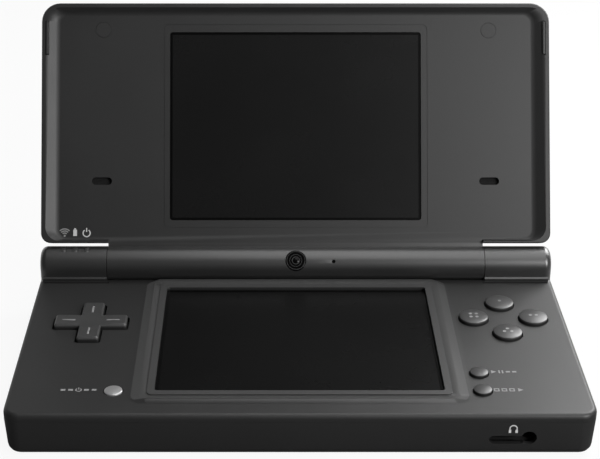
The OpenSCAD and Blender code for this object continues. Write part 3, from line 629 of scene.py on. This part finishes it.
class ConsoleStage(bpy.types.PropertyGroup):
    """Strengths of the lights, and the camera's lens"""
    ambient: bpy.props.FloatProperty(
        name="Ambient", description="Strength of the room's even light",
        default=0.10, min=0, max=2)
    front_power: bpy.props.FloatProperty(
        name="Front light", description="Power of the soft light at the front right",
        default=2.5, min=0, max=50)
    corner_power: bpy.props.FloatProperty(
        name="Corner light", description="Power of the near light behind the right corner",
        default=0.52, min=0, max=50)
    side_power: bpy.props.FloatProperty(
        name="Rear light", description="Power of the far light behind the right side",
        default=1.9, min=0, max=50)
    top_power: bpy.props.FloatProperty(
        name="Top light", description="Power of the wide light overhead",
        default=1.2, min=0, max=50)
    glow: bpy.props.FloatProperty(
        name="Glow", description="Strength of the pale wall behind, as the shells mirror it",
        default=0.8, min=0, max=5)
    focal_length: bpy.props.FloatProperty(
        name="Focal length", description="Focal length of the camera, in millimetres",
        default=90, min=20, max=300)


# ---------- Operators ----------

class CONSOLE_OT_finishes(bpy.types.Operator):
    """Make the materials and give each solid its own"""
    bl_idname = "console.finishes"
    bl_label = "Finishes"

    special = {"touch_window": "touch_film", "inner_camera_window": "lens_glass",
               "outer_camera_window": "lens_glass"}

    def execute(self, context):
        FINISHES.update(make_finishes(context.scene.console_look))
        for part in frame["record"]["subparts"]:
            data = NODES[part["node"]].data
            finish = self.special.get(part["node"], part["material_slot"])
            data.materials.clear()
            data.materials.append(FINISHES[finish].material)
        return {"FINISHED"}


class CONSOLE_OT_stage(bpy.types.Operator):
    """Set the floor, the lights and the camera"""
    bl_idname = "console.stage"
    bl_label = "Stage"

    def execute(self, context):
        stage = context.scene.console_stage
        self.camera(context, stage)
        self.floor()
        self.world(context, stage)
        for name, place, size, power in LAMPS:
            self.lamp(name, place, size, getattr(stage, power))
        context.scene.view_settings.view_transform = "Standard"
        return {"FINISHED"}

    def camera(self, context, stage):
        data = bpy.data.cameras.new("camera")
        data.lens = stage.focal_length
        data.sensor_width = 36
        data.shift_x, data.shift_y = CAMERA_SHIFT
        camera = bpy.data.objects.new("camera", data)
        camera.location = CAMERA_PLACE * MM
        camera.rotation_euler = (math.radians(CAMERA_PITCH), 0, 0)
        context.scene.collection.objects.link(camera)
        context.scene.camera = camera

    def floor(self):
        mesh = bmesh.new()
        bmesh.ops.create_grid(mesh, x_segments=8, y_segments=8, size=6)
        data = bpy.data.meshes.new("floor")
        mesh.to_mesh(data)
        mesh.free()
        floor = bpy.data.objects.new("floor", data)
        bpy.context.scene.collection.objects.link(floor)
        finish = Finish("floor_paint", Roughness=0.9)
        light = finish.node("ShaderNodeLightPath")
        direct, mirrored, through = light[0], light[3], light[6]
        finish.feed(Base_Color=finish.blend(mirrored, grey(0.6), grey(0.08)))
        finish.shader.inputs["Specular IOR Level"].default_value = 0
        behind = ((finish.axes()[1] + FLOOR_EDGE) / FLOOR_BLEND).clamped(0, 1)
        seen = direct + FLOOR_MIRRORED * behind * mirrored + through
        glow = finish.node("ShaderNodeEmission", None, {"Color": grey(1.0), "Strength": 1.0})[0]
        mixed = finish.node("ShaderNodeMixShader", None, {
            0: seen.clamped(0, 1) * FLOOR_WHITE,
            1: Value(finish, finish.shader.outputs[0]), 2: glow})[0]
        finish.tree.links.new(mixed.socket, finish.output.inputs["Surface"])
        data.materials.append(finish.material)

    def world(self, context, stage):
        world = bpy.data.worlds.new("room")
        world.use_nodes = True
        context.scene.world = world
        tree = world.node_tree
        tree.nodes.clear()
        path = tree.nodes.new("ShaderNodeLightPath")
        even = tree.nodes.new("ShaderNodeBackground")
        where = tree.nodes.new("ShaderNodeTexCoord")
        split = tree.nodes.new("ShaderNodeSeparateXYZ")
        tree.links.new(where.outputs["Generated"], split.inputs[0])
        behind = tree.nodes.new("ShaderNodeMapRange")
        low = tree.nodes.new("ShaderNodeMapRange")
        for step, axis, span in ((behind, 1, WALL_BEHIND), (low, 2, WALL_LOW)):
            step.inputs["From Min"].default_value, step.inputs["From Max"].default_value = span
            tree.links.new(split.outputs[axis], step.inputs["Value"])
        both = tree.nodes.new("ShaderNodeMath")
        both.operation = "MULTIPLY"
        level = tree.nodes.new("ShaderNodeMath")
        level.operation = "MULTIPLY_ADD"
        level.inputs[1].default_value = stage.glow
        level.inputs[2].default_value = stage.ambient
        tree.links.new(behind.outputs[0], both.inputs[0])
        tree.links.new(low.outputs[0], both.inputs[1])
        tree.links.new(both.outputs[0], level.inputs[0])
        tree.links.new(level.outputs[0], even.inputs["Strength"])
        white = tree.nodes.new("ShaderNodeBackground")
        white.inputs["Strength"].default_value = 1
        mix = tree.nodes.new("ShaderNodeMixShader")
        out = tree.nodes.new("ShaderNodeOutputWorld")
        tree.links.new(path.outputs["Is Camera Ray"], mix.inputs[0])
        tree.links.new(even.outputs[0], mix.inputs[1])
        tree.links.new(white.outputs[0], mix.inputs[2])
        tree.links.new(mix.outputs[0], out.inputs[0])

    def lamp(self, name, place, size, power):
        data = bpy.data.lights.new(name, "AREA")
        data.shape = "RECTANGLE"
        data.size, data.size_y = size
        data.energy = power
        lamp = bpy.data.objects.new(name, data)
        lamp.location = place
        lamp.rotation_euler = (LAMP_AIM - Vector(place)).to_track_quat("-Z", "Y").to_euler()
        bpy.context.scene.collection.objects.link(lamp)


class CONSOLE_OT_shells(bpy.types.Operator):
    """Ease the edges of the moulded shells and their covers"""
    bl_idname = "console.shells"
    bl_label = "Shells"

    def execute(self, context):
        for node in ("base_top_cover", "base_bottom_cover"):
            softened(node, 0.08, seam=SEAM_Z)
        softened("lid_inner_cover", 0.08, angle=35,
                 fillets=((self.panel_foot, 1.3), (self.rim_ridge, 0.9)))
        for node in ("lid_outer_cover", "battery_cover"):
            softened(node, 0.08)
        for node in ("rubber_feet", "memory_card_door"):
            softened(node, 0.1)
        softened("lid_side_pads", 0.3, segments=4, finish="plug_rubber")
        softened("lid_screw_covers", 0.06, finish="plug_rubber")
        return {"FINISHED"}

    def ends_in_lid(self, edge):
        """An edge's two ends in the lid's own frame"""
        return [lid_matrix().inverted() @ v.co for v in edge.verts]

    def panel_foot(self, edge):
        """Whether an edge lies where the lid's panel meets the slope up to its rim"""
        return (edge.calc_face_angle(0) > math.radians(12)
                and all(abs(end.z - LID_PANEL) < 0.03
                        and (abs(end.x) > PANEL_HALF or end.y > PANEL_END)
                        for end in self.ends_in_lid(edge)))

    def rim_ridge(self, edge):
        """Whether an edge is the ridge of the lid's rim, below the pads"""
        low, high = RIDGE_HEIGHTS
        return (edge.is_convex and edge.calc_face_angle(0) > math.radians(25)
                and all(low < end.z < high and abs(end.x) > RIDGE_HALF and end.y < RIDGE_END
                        for end in self.ends_in_lid(edge)))


class CONSOLE_OT_buttons(bpy.types.Operator):
    """Ease the edges of what fingers press and lay in the pale lines, a painted highlight in
    the pad's grooves, and the pips
    """
    bl_idname = "console.buttons"
    bl_label = "Buttons"

    pips = {
        "top": ((0, 0),),
        "right": ((-0.75, 0), (0.75, 0)),
        "bottom": ((-0.9, -0.6), (0, 0.7), (0.9, -0.6)),
        "left": ((-0.75, -0.75), (-0.75, 0.75), (0.75, -0.75), (0.75, 0.75))}

    def execute(self, context):
        softened("dpad", 0.14)
        for node in ("start_button", "select_button", "power_button", "status_lights"):
            softened(node, 0.08)
        for node in ("shoulder_button_left", "shoulder_button_right", "volume_rocker"):
            softened(node, 0.2)
        self.pad_lines()
        for i, (side, pips) in enumerate(self.pips.items()):
            self.face_button(side, i, pips)
        return {"FINISHED"}

    def pad_lines(self):
        # Painted highlight: pale bars laid in the pad's grooves stand in for the light their
        # walls catch.
        mesh = bmesh.new()
        place = base_matrix(DPAD.x, DPAD.y, DPAD_TOP - 0.36)
        for turn in (0, 90, 180, 270):
            arm = place @ Matrix.Rotation(math.radians(turn), 4, "Z")
            put(mesh, bar((3.3, 0.48, 0.3), 0.05), arm, (5.6, 0))
        finished_mesh("pad_lines", mesh, "dim_ink", body_of("dpad"))

    def face_button(self, side, i, pips):
        node = "face_button_" + side
        softened(node, 0.12)
        turn = math.radians(90 * i)
        x = FACE.x + FACE_PITCH * math.sin(turn)
        y = FACE.y + FACE_PITCH * math.cos(turn)
        mesh = bmesh.new()
        for pip in pips:
            drop = (pip[0] ** 2 + pip[1] ** 2) / (2 * FACE_DOME_R)
            put(mesh, disc(0.42, 0.05, 20), base_matrix(x, y, FACE_TOP - drop - 0.03), pip)
        finished_mesh("pips_" + side, mesh, "dim_ink", body_of(node))


class CONSOLE_OT_windows(bpy.types.Operator):
    """Print the black borders on both windows"""
    bl_idname = "console.windows"
    bl_label = "Windows"

    def execute(self, context):
        x, y, width, height = LOWER_WINDOW
        mesh = bmesh.new()
        put(mesh, border(width - 0.02, height - 0.02, 0.8, 0.9, 0.03),
            base_matrix(x, y, LOWER_GLASS_Z - 0.01))
        finished_mesh("lower_window_border", mesh, "window_border", body_of("touch_window"))
        x, s, width, height = UPPER_WINDOW
        mesh = bmesh.new()
        put(mesh, border(width - 0.02, height - 0.02, 0.75, 0.65, 0.03),
            lid_matrix(x, s, UPPER_GLASS_Z - 0.01))
        finished_mesh("upper_window_border", mesh, "window_border", body_of("upper_window"))
        return {"FINISHED"}


class CONSOLE_OT_marks(bpy.types.Operator):
    """Print the generic pictograms on the deck, the lid and the front wall"""
    bl_idname = "console.marks"
    bl_label = "Marks"

    def execute(self, context):
        deck = bmesh.new()
        self.power_mark(deck)
        self.start_mark(deck)
        self.select_mark(deck)
        finished_mesh("deck_marks", deck, "dim_ink", body_of("base_top_cover"))
        self.lid_marks()
        self.jack_mark()
        return {"FINISHED"}

    def power_mark(self, mesh):
        """A standby sign between two dashes"""
        place = base_matrix(-51.9, -26.6, DECK_Z - INK_SUNK)
        put(mesh, ring(0.65, 0.26, INK_RISE, 125, 290, 24), place)
        put(mesh, bar((0.26, 0.8, INK_RISE)), place, (0, 0.55))
        for side in (-1, 1):
            put(mesh, bar((1.1, 0.75, INK_RISE)), place, (side * 1.85, 0))
            put(mesh, bar((1.1, 0.75, INK_RISE)), place, (side * 3.65, 0))

    def start_mark(self, mesh):
        """An arrowhead, two uprights and two short dashes"""
        place = base_matrix(48.95, -18.5, DECK_Z - INK_SUNK)
        put(mesh, disc(0.8, INK_RISE, 3), place, (-2.5, 0), -90)
        for x in (-0.95, -0.15):
            put(mesh, bar((0.34, 1.3, INK_RISE)), place, (x, 0))
        for x in (1.15, 2.65):
            put(mesh, bar((1.0, 0.6, INK_RISE)), place, (x, 0))

    def select_mark(self, mesh):
        """Three small frames and an arrowhead"""
        place = base_matrix(49.4, -26.6, DECK_Z - INK_SUNK)
        for x in (-3.1, -1.3, 0.5):
            put(mesh, border(1.3, 1.3, 0.12, 0.3, INK_RISE), place, (x, 0))
        put(mesh, disc(0.8, INK_RISE, 3), place, (2.35, 0), -90)

    def lid_marks(self):
        """Radio arcs, a battery and a standby sign, over the three lights"""
        body = body_of("lid_inner_cover")
        dim = bmesh.new()
        place = lid_matrix(-62.18, 7.45, LID_PANEL - INK_SUNK)
        for radius in (0.75, 1.3, 1.85):
            put(dim, ring(radius, 0.3, INK_RISE, 45, 90, 12), place)
        put(dim, disc(0.28, INK_RISE, 16), place)
        finished_mesh("radio_mark", dim, "dim_ink", body)
        pale = bmesh.new()
        place = lid_matrix(-59.36, 8.45, LID_PANEL - INK_SUNK)
        put(pale, bar((1.0, 1.7, INK_RISE)), place, (0, -0.2))
        put(pale, bar((0.5, 0.35, INK_RISE)), place, (0, 0.85))
        place = lid_matrix(-56.27, 8.18, LID_PANEL - INK_SUNK)
        put(pale, ring(0.95, 0.3, INK_RISE, 125, 290, 28), place)
        put(pale, bar((0.3, 1.1, INK_RISE)), place, (0, 0.85))
        finished_mesh("lid_marks", pale, "pale_ink", body)

    def jack_mark(self):
        """Headphones beside the jack"""
        mesh = bmesh.new()
        rise = 0.07
        place = front_matrix(48.9, 8.05, INK_SUNK)
        put(mesh, ring(0.82, 0.26, rise, 0, 180, 16), place, (0, 0.1))
        for side in (-1, 1):
            put(mesh, bar((0.26, 0.5, rise)), place, (side * 0.82, -0.12))
            put(mesh, bar((0.54, 0.85, rise)), place, (side * 0.76, -0.7))
        finished_mesh("jack_mark", mesh, "pale_ink", body_of("base_bottom_cover"))


class CONSOLE_OT_cameras(bpy.types.Operator):
    """Ease the inner camera's window and set rings and a lens in both windows"""
    bl_idname = "console.cameras"
    bl_label = "Cameras"

    def execute(self, context):
        softened("inner_camera_window", 0.16, finish="lens_glass")
        front = barrel_matrix(0, CAMERA_TILT) @ Matrix.Translation((0, 0, 4.33))
        back = lid_matrix(*BACK_CAMERA, LID_BACK + 0.07) @ Matrix.Rotation(math.pi, 4, "X")
        for name, place, wide, tall, node in (
                ("inner_lens", front, 1.0, 1.0, "inner_camera_window"),
                ("outer_lens", back, 1.08, 0.4, "outer_camera_window")):
            place = place @ Matrix.Diagonal((wide, wide, tall, 1))
            mesh = bmesh.new()
            put(mesh, ring(2.42, 0.16, 0.08, steps=48, ease=0.03), place)
            put(mesh, ring(1.62, 0.12, 0.05, steps=40), place)
            put(mesh, ring(0.98, 0.2, 0.1, steps=32, ease=0.03), place)
            finished_mesh(name + "_rings", mesh, "dark_ring", body_of(node))
            mesh = bmesh.new()
            put(mesh, disc(0.85, 0.12, 32, 0.5), place)
            finished_mesh(name, mesh, "lens_glass", body_of(node))
        return {"FINISHED"}


class CONSOLE_OT_speakers(bpy.types.Operator):
    """Weave threads over the speakers' cloth and put a near-black disc in the microphone's hole
    as painted shade
    """
    bl_idname = "console.speakers"
    bl_label = "Speakers"

    def execute(self, context):
        mesh = bmesh.new()
        for side in (-1, 1):
            place = lid_matrix(side * SPEAKER[0], SPEAKER[1], -0.27)
            for i in range(-12, 13):
                put(mesh, bar((0.12, 2.4, 0.09)), place, (i * 0.235, 0))
            for i in range(-4, 5):
                put(mesh, bar((5.8, 0.12, 0.12)), place, (0, i * 0.26))
        finished_mesh("speaker_weave", mesh, "speaker_cloth", body_of("speaker_meshes"))
        # Painted shade: a near-black disc in the microphone's hole makes it read dark over the
        # steel capsule's glint.
        mesh = bmesh.new()
        place = barrel_matrix(*MICROPHONE) @ Matrix.Translation((0, 0, 3.9))
        put(mesh, disc(0.46, 0.1, 24), place)
        finished_mesh("microphone_cloth", mesh, "window_border", body_of("microphone"))
        return {"FINISHED"}


class CONSOLE_OT_screws(bpy.types.Operator):
    """Cut a cross into the head of each screw"""
    bl_idname = "console.screws"
    bl_label = "Screws"

    def execute(self, context):
        self.screws("base_screws", [(x, y, 3.0, 1.5, 0.8, 0.75, 6.4) for x, y in CASE_SCREWS]
                    + [(x, y, 3.0, 1.5, 0.8, 0.75, 6.2) for x, y in REAR_SCREWS])
        self.screws("battery_cover_screws",
                    [(x, y, 1.0, 1.55, 0.5, 0.7, 1.9) for x, y in COVER_SCREWS])
        return {"FINISHED"}

    def screws(self, node, sizes):
        mesh = bmesh.new()
        for x, y, z, head_r, head, shank_r, shank in sizes:
            place = base_matrix(x, y, z) @ Matrix.Rotation(math.pi, 4, "X")
            for shape in cross_head(head_r, head, shank_r, shank):
                put(mesh, shape, place)
        slot = slot_of(node)
        piece = finished_mesh(node + "_finished", mesh, slot, body_of(node))
        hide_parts(node)


OPERATORS = (CONSOLE_OT_finishes, CONSOLE_OT_stage, CONSOLE_OT_shells, CONSOLE_OT_buttons,
             CONSOLE_OT_windows, CONSOLE_OT_marks, CONSOLE_OT_cameras, CONSOLE_OT_speakers,
             CONSOLE_OT_screws)


class CONSOLE_PT_panel(bpy.types.Panel):
    """Lists the steps that dress the console"""
    bl_idname = "CONSOLE_PT_panel"
    bl_label = "Console"
    bl_space_type = "VIEW_3D"
    bl_region_type = "UI"
    bl_category = "Console"

    def draw(self, context):
        for step in OPERATORS:
            self.layout.operator(step.bl_idname, text=step.bl_label)


CLASSES = (ConsoleLook, ConsoleStage) + OPERATORS + (CONSOLE_PT_panel,)


def register():
    for kind in CLASSES:
        bpy.utils.register_class(kind)
    bpy.types.Scene.console_look = bpy.props.PointerProperty(type=ConsoleLook)
    bpy.types.Scene.console_stage = bpy.props.PointerProperty(type=ConsoleStage)


def unregister():
    del bpy.types.Scene.console_stage
    del bpy.types.Scene.console_look
    for kind in reversed(CLASSES):
        bpy.utils.unregister_class(kind)


def main():
    register()
    for step in OPERATORS:
        getattr(bpy.ops.console, step.bl_idname.split(".")[1])()


if __name__ == "__main__":
    main()
